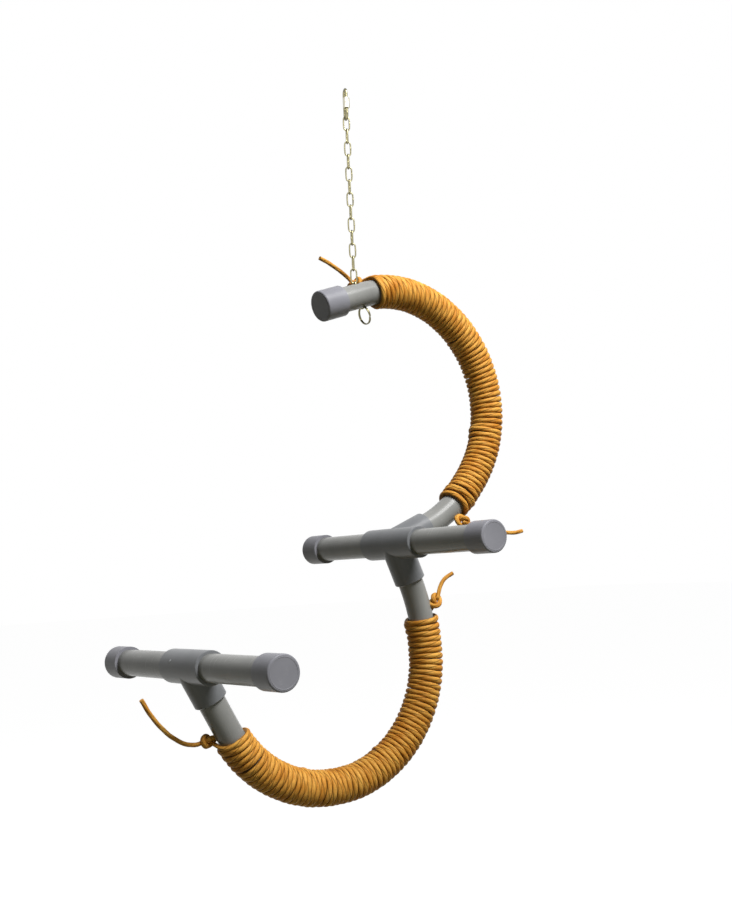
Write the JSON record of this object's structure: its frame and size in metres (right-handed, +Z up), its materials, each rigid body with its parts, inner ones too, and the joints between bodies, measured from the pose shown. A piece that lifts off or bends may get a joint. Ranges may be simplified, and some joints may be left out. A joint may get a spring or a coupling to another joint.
{
  "type": "bird swing",
  "caption": "Hanging climbing swing for a large parrot: a plastic pipe bent into two rope-wound arcs, crossed by two perches, on a chain with a quick link.",
  "frame": {"origin": "underside of the quick link's top bow, where the hook bears; the swing hangs below it", "axes": "+Z up along the chain; X and Z hold the plane of the bent pipe, with the lower perch towards -X; the perches run along Y"},
  "size_m": [0.5641, 0.416, 0.9358],
  "materials": {
    "pipe": "smooth grey pipe, slightly shiny, olive in the shade",
    "fitting": "moulded grey fitting, slightly shiny",
    "end_cap": "moulded grey cap with a lighter round edge",
    "paper_rope": "golden-brown twisted paper rope",
    "chain": "welded links, pale yellow zinc plating",
    "quick_link": "pale yellow zinc plating",
    "sleeve_nut": "bright hexagonal nut",
    "split_ring": "pale yellow zinc plating"
  },
  "bodies": {
    "quick_link": {"quick_link": "quick_link"},
    "nut": {"quick_link_nut": "sleeve_nut"},
    "link_01": {"chain_link_01": "chain"},
    "link_02": {"chain_link_02": "chain"},
    "link_03": {"chain_link_03": "chain"},
    "link_04": {"chain_link_04": "chain"},
    "link_05": {"chain_link_05": "chain"},
    "link_06": {"chain_link_06": "chain"},
    "link_07": {"chain_link_07": "chain"},
    "link_08": {"chain_link_08": "chain"},
    "link_09": {"chain_link_09": "chain"},
    "link_10": {"chain_link_10": "chain"},
    "link_11": {"chain_link_11": "chain"},
    "link_12": {"chain_link_12": "chain"},
    "link_13": {"chain_link_13": "chain"},
    "swing": {"chain_link_14": "chain", "chain_link_15": "chain", "upper_arc_pipe": "pipe", "lower_arc_pipe": "pipe", "middle_fitting": "fitting", "lower_tee": "fitting", "middle_perch_near_pipe": "pipe", "middle_perch_far_pipe": "pipe", "lower_perch_near_pipe": "pipe", "lower_perch_far_pipe": "pipe", "middle_perch_near_cap": "end_cap", "middle_perch_far_cap": "end_cap", "lower_perch_near_cap": "end_cap", "lower_perch_far_cap": "end_cap", "top_end_cap": "end_cap", "upper_rope_winding": "paper_rope", "lower_rope_winding": "paper_rope", "upper_start_knot": "paper_rope", "upper_finish_knot": "paper_rope", "lower_start_knot": "paper_rope", "lower_finish_knot": "paper_rope", "upper_start_tail": "paper_rope", "upper_finish_tail": "paper_rope", "lower_start_tail": "paper_rope", "lower_finish_tail": "paper_rope"},
    "ring": {"split_ring": "split_ring"}
  },
  "joints": [
    {"name": "nut_slide", "type": "slide", "parent": "quick_link", "child": "nut", "axis": [0, 0, -1], "range_m": [0, 0.0066]},
    {"name": "link_01_swing", "type": "hinge", "parent": "quick_link", "child": "link_01", "pos_m": [0, 0, -0.038], "axis": [0.3746, 0.9272, 0], "range_deg": [-10, 10]},
    {"name": "link_02_swing", "type": "hinge", "parent": "link_01", "child": "link_02", "pos_m": [0, 0, -0.0543], "axis": [0.9272, -0.3746, 0], "range_deg": [-10, 10]},
    {"name": "link_03_swing", "type": "hinge", "parent": "link_02", "child": "link_03", "pos_m": [0, 0, -0.0716], "axis": [0.3746, 0.9272, 0], "range_deg": [-10, 10]},
    {"name": "link_04_swing", "type": "hinge", "parent": "link_03", "child": "link_04", "pos_m": [0, 0, -0.0889], "axis": [0.9272, -0.3746, 0], "range_deg": [-10, 10]},
    {"name": "link_05_swing", "type": "hinge", "parent": "link_04", "child": "link_05", "pos_m": [0, 0, -0.1062], "axis": [0.3746, 0.9272, 0], "range_deg": [-10, 10]},
    {"name": "link_06_swing", "type": "hinge", "parent": "link_05", "child": "link_06", "pos_m": [0, 0, -0.1235], "axis": [0.9272, -0.3746, 0], "range_deg": [-10, 10]},
    {"name": "link_07_swing", "type": "hinge", "parent": "link_06", "child": "link_07", "pos_m": [0, 0, -0.1408], "axis": [0.3746, 0.9272, 0], "range_deg": [-10, 10]},
    {"name": "link_08_swing", "type": "hinge", "parent": "link_07", "child": "link_08", "pos_m": [0, 0, -0.1581], "axis": [0.9272, -0.3746, 0], "range_deg": [-10, 10]},
    {"name": "link_09_swing", "type": "hinge", "parent": "link_08", "child": "link_09", "pos_m": [0, 0, -0.1754], "axis": [0.3746, 0.9272, 0], "range_deg": [-10, 10]},
    {"name": "link_10_swing", "type": "hinge", "parent": "link_09", "child": "link_10", "pos_m": [0, 0, -0.1927], "axis": [0.9272, -0.3746, 0], "range_deg": [-10, 10]},
    {"name": "link_11_swing", "type": "hinge", "parent": "link_10", "child": "link_11", "pos_m": [0, 0, -0.21], "axis": [0.3746, 0.9272, 0], "range_deg": [-10, 10]},
    {"name": "link_12_swing", "type": "hinge", "parent": "link_11", "child": "link_12", "pos_m": [0, 0, -0.2273], "axis": [0.9272, -0.3746, 0], "range_deg": [-10, 10]},
    {"name": "link_13_swing", "type": "hinge", "parent": "link_12", "child": "link_13", "pos_m": [0, 0, -0.2446], "axis": [0.3746, 0.9272, 0], "range_deg": [-10, 10]},
    {"name": "swing_hang", "type": "hinge", "parent": "link_13", "child": "swing", "pos_m": [0, 0, -0.2619], "axis": [0.9272, -0.3746, 0], "range_deg": [-10, 10]},
    {"name": "split_ring_turn", "type": "hinge", "parent": "swing", "child": "ring", "pos_m": [0.01443, 0, -0.30368], "axis": [0.9531, -0.0349, 0.3005], "continuous": true}
  ]
}
